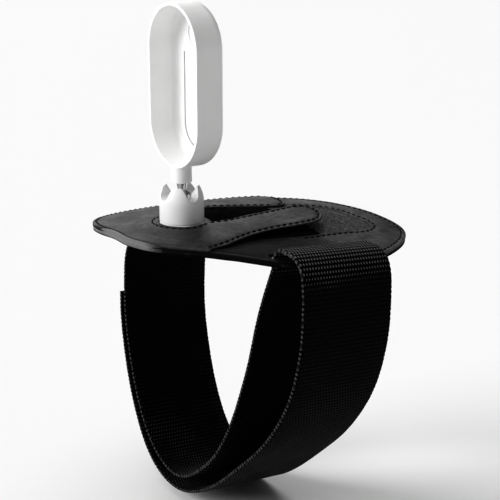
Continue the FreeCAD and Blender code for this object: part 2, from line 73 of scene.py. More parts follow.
# Outlines in plan: the pad, the window for the felt and the near arm.
PAD = [(-29.5, 2), (-30, -6), (-29, -12), (-27, -17), (-23.5, -22), (-18, -27), (-12, -31.5),
       (-6, -36), (0, -40.5), (7, -46), (14, -50.5), (22, -53.5), (35, -55), (50, -55),
       (60, -53.5), (69, -50), (76, -46), (81.5, -41), (84.5, -36), (85.5, -29), (85, -20),
       (83, -10), (79.5, 0), (74, 12), (67, 23.5), (58, 33.5), (46, 40), (32, 43.5), (15, 44.5),
       (2, 43), (-10.8, 39.6), (-20.4, 33.4), (-27, 23.8), (-29.6, 12.4)]
WINDOW = [(12.5, -26.5), (25, -31.5), (41, -33), (56, -33), (67, -33), (71.5, -30), (71.5, -20),
          (69, -8), (62, 0), (50, 4), (39, 8), (31, 13), (24, 15.5), (17, 13.5), (12.3, 7.5),
          (11.1, -3), (11.4, -14)]
NEAR_ARM = [(-8.5, -32.5), (-3, -32), (3, -31.5), (8, -30.5), (14, -29.7), (20, -29.5),
            (26, -30), (34, -31), (39, -31.3), (45, -30.5), (49, -27.5), (52, -23),
            (52.5, -18), (51, -13.5), (47, -11.4), (36, -11.4), (28, -11.4), (20, -11.3),
            (14, -10.9), (9, -9.9), (4, -8.6), (-2, -9.5), (-7, -20)]
# What the upper leather leaves open: everything right of the crown but its two arms.
OPEN_SIDE = [(10.6, -7.5), (10.3, 0), (12, 8), (15.5, 13.5), (20, 16.3), (25, 15.5), (32, 11),
             (39, 7), (46, 3.5), (53, 4), (58, 12), (61, 22), (64, 34), (75, 30), (95, 0),
             (96, -40), (70, -70), (20, -70), (-2, -60), (-9.3, -42), (-9.4, -34.5), (-7.5, -32.4),
             *NEAR_ARM[1:18], (14, -11.2), (11.4, -10)]
# The webbing's route as (Y, Z), from under the pad's far side, round the loop twice, to its tail.
RUN = [(26.0, -3.1), (33.0, -4.2), (40.0, -5.9), (48.0, -8.9), (56.0, -13.4), (63.0, -19.5),
       (68.0, -27.0), (70.4, -40.0), (70.8, -54.0), (69.6, -66.0), (67.0, -78.0), (63.4, -90.0),
       (58.0, -102.0), (51.0, -112.0), (42.0, -118.6), (32.0, -121.4), (22.0, -119.4),
       (11.0, -112.6), (0.5, -103.4), (-9.0, -91.0), (-16.0, -78.4), (-22.0, -64.6), (-27.5, -50.0),
       (-32.0, -35.0), (-36.8, -22.0), (-41.2, -12.0), (-43.4, -6.0), (-44.4, -2.2), (-46.6, -0.4),
       (-50.2, -0.2), (-54.0, -0.5), (-57.6, -1.9), (-60.3, -4.7), (-61.7, -8.8), (-62.2, -14.5),
       (-62.2, -22.0), (-61.6, -32.0), (-59.6, -42.5), (-56.4, -53.0), (-51.2, -64.0),
       (-44.0, -74.8), (-35.2, -85.2), (-23.0, -96.6), (-11.0, -107.0), (0.0, -115.6),
       (12.0, -122.6), (24.0, -126.9), (34.0, -127.4), (44.0, -124.6), (53.6, -117.6),
       (61.2, -106.6), (67.0, -93.6), (71.0, -80.0), (73.4, -67.5), (74.5, -57.0), (74.4, -48.0)]


def skin_height(xy, level):
    """Height of the pad's curved skin whose crest is at the given level."""
    x, y = xy[:, 0], xy[:, 1]
    rho = (LONG_RADIUS - ARCH_RADIUS) + np.sqrt((ARCH_RADIUS + level) ** 2 - y * y)
    return np.sqrt(rho * rho - x * x) - LONG_RADIUS


# ------------------------ curve and mesh helpers
FOLD_SHARE = 0.93  # a moved point nearer to its line than this share of its move lies in a fold


def smooth_line(points, step, closed=False):
    """Points a given step apart along a natural or periodic cubic through the given points."""
    p = np.array(points, float)
    if closed:
        p = np.vstack([p, p[:1]])
    t = np.concatenate([[0], np.cumsum(np.hypot(*np.diff(p, axis=0).T))])
    h = np.diff(t)
    n = len(p)
    a, b = np.zeros((n, n)), np.zeros((n, 2))
    slope = np.diff(p, axis=0) / h[:, None]
    for i in range(1, n - 1):
        a[i, i - 1:i + 2] = h[i - 1], 2 * (h[i - 1] + h[i]), h[i]
        b[i] = 6 * (slope[i] - slope[i - 1])
    if closed:
        a[0, 0], a[0, 1], a[0, n - 2] = 2 * (h[0] + h[-1]), h[0], h[-1]
        b[0] = 6 * (slope[0] - slope[-1])
        a[-1, 0], a[-1, -1] = 1, -1
    else:
        a[0, 0] = a[-1, -1] = 1
    m = np.linalg.solve(a, b)
    fine = np.linspace(0, t[-1], max(8, int(t[-1] * 12)))
    k = np.clip(np.searchsorted(t, fine, side="right") - 1, 0, n - 2)
    d, e, w = (fine - t[k])[:, None], (t[k + 1] - fine)[:, None], h[k][:, None]
    line = (m[k] * e ** 3 + m[k + 1] * d ** 3) / (6 * w)
    line += (p[k] / w - m[k] * w / 6) * e + (p[k + 1] / w - m[k + 1] * w / 6) * d
    return respaced(line, step, closed)


def run_lengths(line):
    """Length of a line up to each of its points."""
    return np.concatenate([[0], np.cumsum(np.linalg.norm(np.diff(line, axis=0), axis=1))])


def respaced(line, step, closed=False):
    """The same line with evenly spaced points; a closed line ends one step before its start."""
    run = run_lengths(line)
    count = max(4, int(round(run[-1] / step)))
    at = np.linspace(0, run[-1], count + 1)
    if closed:
        at = at[:-1]
    return np.stack([np.interp(at, run, line[:, i]) for i in range(line.shape[1])], 1)


def left_of(along):
    """Vectors a quarter turn to the left. In the YZ plane this is the webbing's outer side."""
    return np.stack([-along[:, 1], along[:, 0]], 1)


def normals_2d(loop):
    """Unit normals on the left of a closed line's direction."""
    along = np.roll(loop, -1, 0) - np.roll(loop, 1, 0)
    return left_of(along / np.linalg.norm(along, axis=1, keepdims=True))


def directions(line):
    """Unit direction at each point of an open line."""
    along = np.gradient(line, axis=0)
    return along / np.linalg.norm(along, axis=1, keepdims=True)


def counter_clockwise(loop):
    x, y = loop[:, 0], loop[:, 1]
    return loop if np.sum(x * np.roll(y, -1) - np.roll(x, -1) * y) > 0 else loop[::-1]


def edge_distance(xy, loops):
    """Distance of each point from the nearest of several closed loops."""
    best = np.full(len(xy), 1e9)
    for loop in loops:
        a, b = loop, np.roll(loop, -1, 0)
        ab = b - a
        span = np.maximum((ab ** 2).sum(1), 1e-12)
        for start in range(0, len(xy), 2000):
            p = xy[start:start + 2000, None, :]
            t = np.clip(((p - a) * ab).sum(2) / span, 0, 1)
            d = np.linalg.norm(p - (a + t[..., None] * ab), axis=2).min(1)
            best[start:start + 2000] = np.minimum(best[start:start + 2000], d)
    return best


def is_inside(xy, loop):
    """Even-odd test of many points against one closed loop."""
    x, y = xy[:, 0], xy[:, 1]
    inside = np.zeros(len(xy), bool)
    a, b = loop, np.roll(loop, -1, 0)
    for (x0, y0), (x1, y1) in zip(a, b):
        if y0 == y1:
            continue
        crosses = (y0 > y) != (y1 > y)
        inside ^= crosses & (x < (x1 - x0) * (y - y0) / (y1 - y0) + x0)
    return inside


def inset(loop, gap):
    """Closed loop moved inwards; points whose offset folds over itself are dropped."""
    loop = counter_clockwise(loop)
    moved = loop + normals_2d(loop) * gap
    keep = edge_distance(moved, [loop]) > abs(gap) * FOLD_SHARE
    return moved[keep]


def flat_noise(spots, scale, seed=0.0):
    """Smooth noise from -1 to 1 for points in plan or space; scale is its features' size in mm."""
    xyz = np.column_stack([spots, np.zeros((len(spots), 3 - spots.shape[1]))])
    return np.array([noise.noise(Vector((p[0], p[1], p[2] + seed)) / scale) for p in xyz])


def smooth_step(low, high, value):
    t = np.clip((value - low) / (high - low), 0, 1)
    return t * t * (3 - 2 * t)


def make_object(name, points, faces, material, uv=None):
    """A smooth-shaded mesh object from points in mm; uv is one pair per point."""
    mesh = bpy.data.meshes.new(name)
    mesh.from_pydata([tuple(p) for p in np.asarray(points) * MM], [], faces)
    mesh.validate()
    if uv is not None:
        layer = mesh.uv_layers.new(name="weave")
        corner = np.zeros(len(mesh.loops), np.int32)
        mesh.loops.foreach_get("vertex_index", corner)
        layer.data.foreach_set("uv", np.asarray(uv, np.float32)[corner].ravel())
    mesh.polygons.foreach_set("use_smooth", [True] * len(mesh.polygons))
    mesh.materials.append(material)
    mesh.update()
    return add_object(name, mesh)


def add_object(name, data):
    obj = bpy.data.objects.new(name, data)
    SCENE.collection.objects.link(obj)
    return obj


def finish_piece(obj, slot, *nodes):
    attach(obj, "pad")
    if nodes:
        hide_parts(*nodes)


def tube_faces(start, rings, sides):
    """Faces of a capped tube whose rings of points follow each other from a start number."""
    faces = []
    for k in range(rings - 1):
        for s in range(sides):
            m = (s + 1) % sides
            a, b = start + k * sides, start + (k + 1) * sides
            faces.append((a + s, a + m, b + m, b + s))
    faces.append(tuple(start + s for s in reversed(range(sides))))
    faces.append(tuple(start + (rings - 1) * sides + s for s in range(sides)))
    return faces


# ------------------------ cut sheets of the pad
RING_STEPS = (0.12, 0.3, 0.55, 0.9, 1.35, 2.0, 2.7)  # how far the rings of points lie from an edge
ROW_SPACING = 0.866  # rows of an even triangle grid, as a share of the spacing along a row


def triangulated(outer, holes, spacing, rings=RING_STEPS):
    """Plan of a sheet: an even grid plus rings near every edge.

    Returns points, triangles, the edges of its border and the border's loops.
    """
    outer = counter_clockwise(outer)
    loops = [outer] + [counter_clockwise(h) for h in holes]

    def on_sheet(xy):
        keep = is_inside(xy, outer)
        for hole in loops[1:]:
            keep &= ~is_inside(xy, hole)
        return keep

    low, high = outer.min(0), outer.max(0)
    xs = np.arange(low[0], high[0], spacing)
    rows = np.arange(low[1], high[1], spacing * ROW_SPACING)
    grid = np.array([(x + spacing / 2 * (i % 2), y) for i, y in enumerate(rows) for x in xs])
    grid = grid[on_sheet(grid)]
    grid = grid[edge_distance(grid, loops) > rings[-1] + spacing * 0.5]
    inner = [grid]
    for loop, side in [(outer, 1)] + [(h, -1) for h in loops[1:]]:
        for gap in rings:
            ring = loop + normals_2d(loop) * gap * side
            ring = ring[edge_distance(ring, loops) > gap * FOLD_SHARE]
            inner.append(ring[on_sheet(ring)])
    points, edges = [], []
    for loop in loops:
        start = len(points)
        points += [tuple(p) for p in loop]
        edges += [(start + i, start + (i + 1) % len(loop)) for i in range(len(loop))]
    points += [tuple(p) for p in np.vstack(inner)]
    found = geometry.delaunay_2d_cdt([Vector(p) for p in points], edges, [], 1, 1e-4)
    xy = np.array([tuple(v) for v in found[0]])
    tris = np.array([tuple(f) for f in found[2]])
    tris = tris[on_sheet(xy[tris].mean(1))]
    a, b, c = xy[tris[:, 0]], xy[tris[:, 1]], xy[tris[:, 2]]
    turned = (b - a)[:, 0] * (c - a)[:, 1] - (b - a)[:, 1] * (c - a)[:, 0] < 0
    tris[turned] = tris[turned][:, ::-1]
    seen = dict.fromkeys((int(t[i]), int(t[(i + 1) % 3])) for t in tris for i in range(3))
    border = [pair for pair in seen if (pair[1], pair[0]) not in seen]
    used = np.unique(tris)
    number = np.full(len(xy), -1)
    number[used] = np.arange(len(used))
    return xy[used], number[tris], [(number[a], number[b]) for a, b in border], loops


def sheet_piece(name, outer, holes, top, bottom, material, spacing=1.5, roll=0.45, rings=RING_STEPS):
    """A cut sheet between two height functions, its edges rolled over by a radius in mm."""
    xy, tris, border, loops = triangulated(outer, holes, spacing, rings)
    gap = edge_distance(xy, loops)
    inward = np.clip(gap / roll, 0, 1)
    drop = roll * (1 - np.sqrt(np.clip(1 - (1 - inward) ** 2, 0, 1)))
    upper, lower = top(xy, gap), bottom(xy, gap)
    drop = np.minimum(drop, (upper - lower) / 2 * 0.98)
    up, down = np.column_stack([xy, upper - drop]), np.column_stack([xy, lower + drop])
    n = len(xy)
    faces = [tuple(int(i) for i in t) for t in tris]
    faces += [tuple(int(i) + n for i in t[::-1]) for t in tris]
    faces += [(int(b), int(a), int(a) + n, int(b) + n) for a, b in border]
    uv = np.vstack([xy, xy])
    return make_object(name, np.vstack([up, down]), faces, material, uv)


# ------------------------ node helpers
class Nodes:
    """A small builder of shader nodes for one material."""

    def __init__(self, name):
        self.material = bpy.data.materials.new(name)
        self.material.use_nodes = True
        self.tree = self.material.node_tree
        self.shader = self.tree.nodes["Principled BSDF"]
        self.bumps = None

    def add(self, kind, **values):
        made = self.tree.nodes.new(kind)
        for key, value in values.items():
            setattr(made, key, value)
        return made

    def link(self, a, b):
        self.tree.links.new(a, b)

    def set(self, **values):
        for key, value in values.items():
            self.shader.inputs[key.replace("_", " ")].default_value = value

    def place(self, uv=False):
        made = self.add("ShaderNodeTexCoord")
        return made.outputs["UV" if uv else "Object"]

    def split(self, source):
        """The X, Y and Z of a place."""
        made = self.add("ShaderNodeSeparateXYZ")
        self.link(source, made.inputs[0])
        return made.outputs

    def scaled(self, source, factors):
        made = self.add("ShaderNodeMapping")
        made.inputs["Scale"].default_value = factors
        self.link(source, made.inputs["Vector"])
        return made.outputs["Vector"]

    def noise(self, source, size_mm, detail=3.0, rough=0.55):
        made = self.add("ShaderNodeTexNoise")
        made.inputs["Scale"].default_value = 1.0 / (size_mm * MM)
        made.inputs["Detail"].default_value = detail
        made.inputs["Roughness"].default_value = rough
        self.link(source, made.inputs["Vector"])
        return made.outputs["Fac"]

    def cells(self, source, size_mm, feature="F1"):
        made = self.add("ShaderNodeTexVoronoi", feature=feature)
        made.inputs["Scale"].default_value = 1.0 / (size_mm * MM)
        self.link(source, made.inputs["Vector"])
        return made.outputs["Distance"]

    def math(self, operation, a, b=None):
        """One sum on two values, each a socket or a number."""
        made = self.add("ShaderNodeMath", operation=operation)
        for socket, value in zip(made.inputs, (a, b)):
            if isinstance(value, (int, float)):
                socket.default_value = value
            elif value is not None:
                self.link(value, socket)
        return made.outputs[0]

    def blend(self, a, share_a, b, share_b):
        """Two values added in given shares."""
        return self.math("ADD", self.math("MULTIPLY", a, share_a), self.math("MULTIPLY", b, share_b))

    def span(self, value, low, high, to_low, to_high):
        made = self.add("ShaderNodeMapRange")
        keys = ("From Min", "From Max", "To Min", "To Max")
        for key, number in zip(keys, (low, high, to_low, to_high)):
            made.inputs[key].default_value = number
        self.link(value, made.inputs["Value"])
        return made.outputs["Result"]

    def colours(self, value, stops):
        """A ramp; each stop is a place and a grey or a colour."""
        made = self.add("ShaderNodeValToRGB")
        ramp = made.color_ramp
        while len(ramp.elements) < len(stops):
            ramp.elements.new(0.5)
        for element, (at, grey) in zip(ramp.elements, stops):
            element.position = at
            element.color = (*grey, 1) if isinstance(grey, tuple) else (grey, grey, grey, 1)
        self.link(value, made.inputs["Fac"])
        return made.outputs["Color"]

    def change(self, source, axis, low_mm, high_mm, to_low, to_high):
        """A value that changes from one place on an axis to another."""
        return self.span(self.split(source)[axis], low_mm * MM, high_mm * MM, to_low, to_high)

    def waves(self, value, turn):
        """Half waves from 0 to 1, one for each half turn."""
        return self.math("ABSOLUTE", self.math("SINE", self.math("MULTIPLY", value, turn)))

    def bump(self, height, depth_mm, strength=1.0):
        """Adds a relief; several reliefs chain through each other."""
        made = self.add("ShaderNodeBump")
        made.inputs["Strength"].default_value = strength
        made.inputs["Distance"].default_value = depth_mm * MM
        self.link(height, made.inputs["Height"])
        if self.bumps is not None:
            self.link(self.bumps, made.inputs["Normal"])
        self.bumps = made.outputs["Normal"]
        self.link(self.bumps, self.shader.inputs["Normal"])

    def colour(self, socket):
        self.link(socket, self.shader.inputs["Base Color"])

    def rough(self, *span):
        self.link(self.span(*span), self.shader.inputs["Roughness"])


# ------------------------ materials
def leather_material(name, dark, light, shine, wear_and_painted_light=None, painted_shade_x=None, grain_mm=0.55):
    """Coated leather: pebbled grain, faint pores, scuffed patches that are lighter and glossier.

    The two ramps each give two X places in mm and a value at each. The first is added to the
    scuffed patches as painted light and shade; the second, squared, multiplies the tone as
    painted shade.
    """
    n = Nodes(name)
    at = n.place()
    rubbing_and_painted_light = n.blend(n.noise(at, 13.0, 4.0, 0.6), 0.68, n.noise(at, 1.6, 5.0, 0.65), 0.32)
    # Painted light and shade: a lightness ramp along X, added to the scuffed patches.
    if wear_and_painted_light:
        rubbing_and_painted_light = n.math("ADD", rubbing_and_painted_light, n.change(at, 0, *wear_and_painted_light))
    tone = n.colours(rubbing_and_painted_light, [(0.32, dark), (0.52, (dark + light) * 0.42), (0.70, light)])
    # Painted shade: the tone multiplied down along X.
    if painted_shade_x:
        tone = n.math("MULTIPLY", tone, n.math("POWER", n.change(at, 0, *painted_shade_x), 2.0))
    n.colour(tone)
    n.rough(rubbing_and_painted_light, 0.32, 0.68, 0.64, 0.44)
    n.set(Specular_IOR_Level=shine, Sheen_Weight=0.02, Sheen_Roughness=0.5)
    n.bump(n.cells(at, grain_mm, "SMOOTH_F1"), 0.05, 0.7)
    n.bump(n.noise(at, 0.32, 3.0), 0.03, 0.6)
    n.bump(n.noise(at, 6.0, 4.0, 0.55), 0.6, 0.5)
    return n.material


def webbing_material():
    """Woven elastic: staggered rows of small yarn loops, with painted light on them over the slot and
    at the bottom of the loop.
    """
    n = Nodes("elastic_webbing")
    weave = n.split(n.place(uv=True))
    across = n.math("MULTIPLY", weave[0], 1.0 / COLUMN_PITCH)
    along = n.math("MULTIPLY", weave[1], 1.0 / RIB_PITCH)
    row = n.math("FLOOR", along)
    shifted = n.math("ADD", across, n.math("MULTIPLY", row, 0.5))
    pearl = n.math("MULTIPLY", n.math("POWER", n.waves(shifted, math.pi), 1.3),
                   n.math("POWER", n.waves(along, math.pi), 1.1))
    at = n.place()
    lint = n.noise(at, 0.35, 4.0, 0.7)
    wear_and_painted_light = n.math("MULTIPLY", pearl, n.span(n.noise(at, 22.0, 3.0), 0.35, 0.65, 0.8, 1.1))
    # Painted light: the loops lighter towards the top, over the slot, and towards the bottom of the
    # loop.
    fold_painted_light = n.change(at, 2, -15.0, -4.0, 0.0, 0.55)
    foot_painted_light = n.change(at, 2, -70.0, -118.0, 0.0, 0.20)
    tone = n.math("ADD", n.blend(wear_and_painted_light, 0.70, lint, 0.18),
                  n.math("MULTIPLY", n.math("ADD", fold_painted_light, foot_painted_light), pearl))
    n.colour(n.colours(tone, [(0.22, 0.0002), (0.60, 0.0012), (0.82, 0.006), (1.0, 0.11)]))
    n.rough(tone, 0.2, 1.0, 0.95, 0.60)
    n.set(Specular_IOR_Level=0.06, Sheen_Weight=0.045, Sheen_Roughness=0.3)
    n.bump(pearl, 0.26, 0.9)
    n.bump(lint, 0.06, 0.6)
    return n.material


def yarn_material(name, dark, light, size_mm=0.18, fuzz=0.15, painted_shade_y=None):
    """Twisted yarn: fine slanted plies and a little fuzz. The last argument adds painted shade, as for
    the felt.
    """
    n = Nodes(name)
    at = n.place()
    ply = n.noise(n.scaled(at, (1.0, 1.7, 1.0)), size_mm, 3.0, 0.6)
    # Painted shade: darker towards the pad's near edge.
    if painted_shade_y:
        ply = n.math("ADD", ply, n.change(at, 1, *painted_shade_y, -0.4, 0.0))
    n.colour(n.colours(ply, [(0.3, dark), (0.7, light)]))
    n.rough(ply, 0.3, 0.7, 0.55, 0.8)
    n.set(Specular_IOR_Level=0.15, Sheen_Weight=fuzz)
    n.bump(ply, 0.05, 0.8)
    return n.material


def felt_material(name, dark, light, fibre_mm=0.5, painted_shade_y=None):
    """Napped fibre face: tangled strands with a speckle of lighter ends.

    The last argument gives two Y places in mm. The face is darkened with painted shade before the
    first, less towards the second and not past it.
    """
    n = Nodes(name)
    at = n.place()
    tangle = n.noise(n.scaled(at, (1.0, 0.45, 1.0)), fibre_mm, 6.0, 0.75)
    speck = n.cells(at, fibre_mm * 1.4)
    tone = n.blend(tangle, 0.7, speck, 0.4)
    # Painted shade: darker towards the pad's near edge, under the near arm.
    if painted_shade_y:
        tone = n.math("ADD", tone, n.change(at, 1, *painted_shade_y, -0.26, 0.0))
    n.colour(n.colours(tone, [(0.30, dark), (0.55, (dark + light) * 0.45), (0.78, light)]))
    n.rough(tone, 0.3, 0.8, 0.98, 0.86)
    n.set(Specular_IOR_Level=0.15, Sheen_Weight=0.08, Sheen_Roughness=0.6)
    n.bump(tangle, 0.35, 0.9)
    n.bump(speck, 0.15, 0.5)
    return n.material


def mesh_cloth_material(name, dark, light, pitch_mm=0.9):
    """Thin knitted lining: a small regular grid of open stitches."""
    n = Nodes(name)
    plan = n.split(n.place(uv=True))
    turn = math.pi / pitch_mm
    knit = n.math("MAXIMUM", n.waves(plan[0], turn), n.waves(plan[1], turn))
    tone = n.blend(knit, 0.7, n.noise(n.place(), 1.2, 4.0), 0.3)
    n.colour(n.colours(tone, [(0.25, dark), (0.9, light)]))
    n.rough(tone, 0.2, 0.9, 0.95, 0.75)
    n.set(Specular_IOR_Level=0.0)
    n.bump(knit, 0.22, 0.8)
    return n.material


def white_plastic_material():
    """Satin moulded plastic with a faint spark texture and handled patches."""
    n = Nodes("white_satin_plastic")
    at = n.place()
    handled = n.noise(at, 14.0, 3.0)
    spark = n.noise(at, 0.28, 2.0, 0.5)
    n.colour(n.colours(handled, [(0.3, (0.82, 0.82, 0.815)), (0.7, (0.87, 0.87, 0.867))]))
    n.rough(n.blend(handled, 0.6, spark, 0.4), 0.3, 0.7, 0.36, 0.46)
    n.set(Specular_IOR_Level=0.45, IOR=1.49, Subsurface_Weight=0.06, Subsurface_Scale=0.0015)
    n.shader.inputs["Subsurface Radius"].default_value = (1.0, 0.95, 0.9)
    n.bump(spark, 0.012, 0.35)
    n.bump(handled, 0.05, 0.2)
    return n.material


def metal_material(name, tone, low, high, lines_mm=0.25):
    """Turned or drawn metal: fine rings round the axis and small scuffs, its roughness in a range."""
    n = Nodes(name)
    at = n.place()
    rings = n.noise(n.scaled(at, (0.05, 0.05, 1.0)), lines_mm, 2.0)
    scuff = n.noise(at, 1.4, 4.0)
    dull = tuple(c * 0.82 for c in tone)
    n.colour(n.colours(scuff, [(0.35, dull), (0.65, tone)]))
    n.rough(n.blend(rings, 0.6, scuff, 0.4), 0.3, 0.7, low, high)
    n.set(Metallic=1.0)
    n.bump(rings, 0.01, 0.4)
    return n.material


def plain_plastic_material(name, dark, light, rough_low, rough_high):
    """Engineering plastic: flow marks and a fine moulded texture."""
    n = Nodes(name)
    at = n.place()
    flow = n.noise(n.scaled(at, (1.0, 1.0, 0.35)), 5.0, 4.0)
    spark = n.noise(at, 0.3, 2.0)
    n.colour(n.colours(flow, [(0.3, dark), (0.7, light)]))
    n.rough(flow, 0.3, 0.7, rough_low, rough_high)
    n.bump(spark, 0.02, 0.5)
    return n.material


def foam_material():
    """Open-cell foam seen at its cut edges."""
    n = Nodes("grey_foam")
    at = n.place()
    pores = n.cells(at, 0.45, "SMOOTH_F1")
    n.colour(n.colours(pores, [(0.1, 0.010), (0.6, 0.045)]))
    n.rough(pores, 0.0, 0.8, 0.98, 0.8)
    n.bump(pores, 0.2, 1.0)
    return n.material


LEATHER = leather_material("black_leather_top", dark=0.0035, light=0.046, shine=0.18)
# Painted shade: the base leather falls to near black towards the near arm and is lighter to the right.
LEATHER_BASE = leather_material("black_leather_base", dark=0.008, light=0.10, shine=0.10,
                                painted_shade_x=(16.0, 56.0, 0.10, 1.15))
# Painted highlight on the rolled edge at the pad's left tip, painted shade along the rest of it.
LEATHER_EDGE = leather_material("black_leather_edge", dark=0.0008, light=0.15, shine=0.10,
                                wear_and_painted_light=(-27.5, -21.0, 0.2, -0.24), grain_mm=0.7)
WEBBING = webbing_material()
SELVEDGE = yarn_material("selvedge_yarn", dark=0.012, light=0.055)
THREAD = yarn_material("bonded_thread", dark=0.0004, light=0.003, size_mm=0.12, fuzz=0.01)
# Painted shade on the felt and its fibres towards the window's near edge, under the near arm.
PAINTED_SHADE_Y = (-43.0, -29.0)
FELT = felt_material("napped_felt", dark=0.0006, light=0.21, painted_shade_y=PAINTED_SHADE_Y)
FIBRE = yarn_material("felt_fibre", dark=0.006, light=0.18, size_mm=0.3, painted_shade_y=PAINTED_SHADE_Y)
LOOP = felt_material("loop_pile", dark=0.004, light=0.05, fibre_mm=0.7)
LINING = mesh_cloth_material("knitted_lining", dark=0.0006, light=0.008)
FOAM = foam_material()
WHITE = white_plastic_material()
STEEL = metal_material("polished_steel", (0.62, 0.62, 0.63), low=0.12, high=0.28)
SPRING = metal_material("spring_steel", (0.42, 0.42, 0.43), low=0.25, high=0.42)
BRASS = metal_material("turned_brass", (0.72, 0.55, 0.26), low=0.2, high=0.35)
NYLON = plain_plastic_material("natural_nylon", (0.58, 0.56, 0.50), (0.68, 0.66, 0.60), 0.4, 0.55)
BLACK_PLASTIC = plain_plastic_material("black_plastic", 0.012, 0.03, 0.4, 0.6)
HOOK = plain_plastic_material("hook_plastic", 0.006, 0.022, 0.45, 0.65)

# ------------------------ hard parts keep their CAD shape
HARD = {
    "cup_shell": WHITE, "press_tongue": WHITE, "crown_socket": WHITE, "socket_base": WHITE,
    "cup_insert": BRASS, "ball_stud": STEEL, "stud_clip": SPRING, "wave_spring": SPRING,
    "retaining_ring": SPRING, "base_screws": SPRING, "ball_seat": NYLON,
    "stiffener_plate": BLACK_PLASTIC,
}
EDGE_ROUND = {"cup_shell": 0.16, "press_tongue": 0.1, "crown_socket": 0.22}
WELD_REACH = 0.002


def dress_hard_part(node, material):
    """Gives a CAD node its finish and, on moulded parts, softly rounded edges."""
    obj = NODES[node]
    obj.data.materials.clear()
    obj.data.materials.append(material)
    weld = obj.modifiers.new("weld", "WELD")
    weld.merge_threshold = WELD_REACH * MM
    if node in EDGE_ROUND:
        bevel = obj.modifiers.new("edge_round", "BEVEL")
        bevel.width = EDGE_ROUND[node] * MM
        bevel.segments = 3
        bevel.limit_method = "ANGLE"
        bevel.angle_limit = math.radians(32)
        bevel.use_clamp_overlap = True
        bevel.harden_normals = False
    flat = obj.modifiers.new("even_normals", "WEIGHTED_NORMAL")
    flat.keep_sharp = False
    for polygon in obj.data.polygons:
        polygon.use_smooth = True


for hard_node, hard_material in HARD.items():
    dress_hard_part(hard_node, hard_material)

# ------------------------ outlines of the pad's sheets
BORDER = counter_clockwise(smooth_line(PAD, 0.9, True))
WINDOW_LINE = counter_clockwise(smooth_line(WINDOW, 0.9, True))
ARM_LINE = counter_clockwise(smooth_line(NEAR_ARM, 0.7, True))
GAP_LINE = counter_clockwise(smooth_line(OPEN_SIDE, 0.8, True))
WIDE_GAP = inset(GAP_LINE, -0.9)  # the open side and the upper leather's rim
NARROW_GAP = inset(GAP_LINE, 0.8)  # the open side without its own rim
STITCH_INSET = 2.0
FOAM_INSET, ROLL_REACH = 2.7, 2.55  # how far the foam ends, and the rolled edge reaches, inside
# Radii round the crown's axis: the holes in each leather, the plate's hole in the foam, the seam.
CROWN_HOLE, BASE_HOLE, PLATE_HOLE, SEAM_RING = 8.95, 9.6, 15.1, 11.8


def circle(radius, count=72):
    turn = np.arange(count) / count * 2 * math.pi
    return np.stack([radius * np.cos(turn), radius * np.sin(turn)], 1)


def without(loop, cutter):
    """The largest part of a closed loop's region outside another closed loop, as one loop."""
    outside = ~is_inside(loop, cutter)
    start = next(i for i in range(len(loop)) if outside[i] and not outside[i - 1])
    kept = []
    for i in range(len(loop)):
        k = (start + i) % len(loop)
        if not outside[k]:
            break
        kept.append(loop[k])
    kept = np.array(kept)
    first = int(np.argmin(np.linalg.norm(cutter - kept[-1], axis=1)))
    last = int(np.argmin(np.linalg.norm(cutter - kept[0], axis=1)))
    steps = (first - last) % len(cutter) + 1
    back = cutter[(first - np.arange(steps)) % len(cutter)]
    gap = np.minimum(np.linalg.norm(back - kept[-1], axis=1), np.linalg.norm(back - kept[0], axis=1))
    return respaced(np.vstack([kept, back[gap > 0.6], kept[:1]]), 0.9, True)


def seam_groove(xy, loops, depth=0.24, width=0.6):
    """How far the leather sinks along its seams."""
    gap = edge_distance(xy, loops)
    return depth * np.exp(-(gap / width) ** 2)


SEAM_EDGE = inset(BORDER, STITCH_INSET)
SEAM_FAR = inset(BORDER, 1.5)
SEAM_WINDOW = smooth_line([tuple(p) for p in inset(WINDOW_LINE, -STITCH_INSET)[::4]], 0.9, True)
SEAM_ARM = inset(ARM_LINE, 1.8)
SEAM_CROWN = circle(SEAM_RING)
SEAM_INNER = inset(GAP_LINE, -1.4)


def wrinkles(xy, level):
    """Soft unevenness of leather laid over foam."""
    xyz = np.column_stack([xy, np.full(len(xy), level)])
    return 0.10 * flat_noise(xyz, 9.0) + 0.05 * flat_noise(xyz, 3.2, 40.0)


def arm_lift(xy):
    """Height that the near arm stands off the pad towards its free end, its near edge curled up."""
    on_arm = smooth_step(-7.5, -11.5, xy[:, 1]) * smooth_step(-9.0, 6.0, xy[:, 0])
    rise = np.maximum(xy[:, 0] - ARM_HINGE_X, 0) * ARM_SLOPE
    curl = 0.55 * smooth_step(2.0, 40.0, xy[:, 0]) * smooth_step(-24.0, -31.0, xy[:, 1])
    return on_arm * (rise + curl)


def upper_height(xy, gap):
    """Top of the upper leather: swollen between its edges, lipped round the crown, sunk at seams."""
    swell = 0.18 * smooth_step(0.5, 5.0, gap)
    lip = 0.25 * np.exp(-((np.hypot(xy[:, 0], xy[:, 1]) - 10.0) / 0.9) ** 2)
    z = skin_height(xy, PAD_TOP) - 0.1 + swell + lip + wrinkles(xy, 3.0) + arm_lift(xy)
    return z - seam_groove(xy, [SEAM_FAR, SEAM_CROWN, SEAM_ARM, SEAM_INNER])


def upper_low_height(xy, gap):
    return skin_height(xy, BASE_TOP) + 0.03 + arm_lift(xy)


def on_level(level, rise):
    """A height function for one face of a sheet: a level of the pad's skin and a rise above it."""
    return lambda xy, gap: skin_height(xy, level) + rise


BAND_WIDTH = 1.9  # how far the upper leather stops short of the rolled edge at the left end


def left_band(xy):
    """1 round the left end, where the rolled edge shows as a band, 0 elsewhere."""
    return smooth_step(-25.0, -17.0, xy[:, 1]) * smooth_step(16.0, 7.0, xy[:, 1]) * (xy[:, 0] < -12)


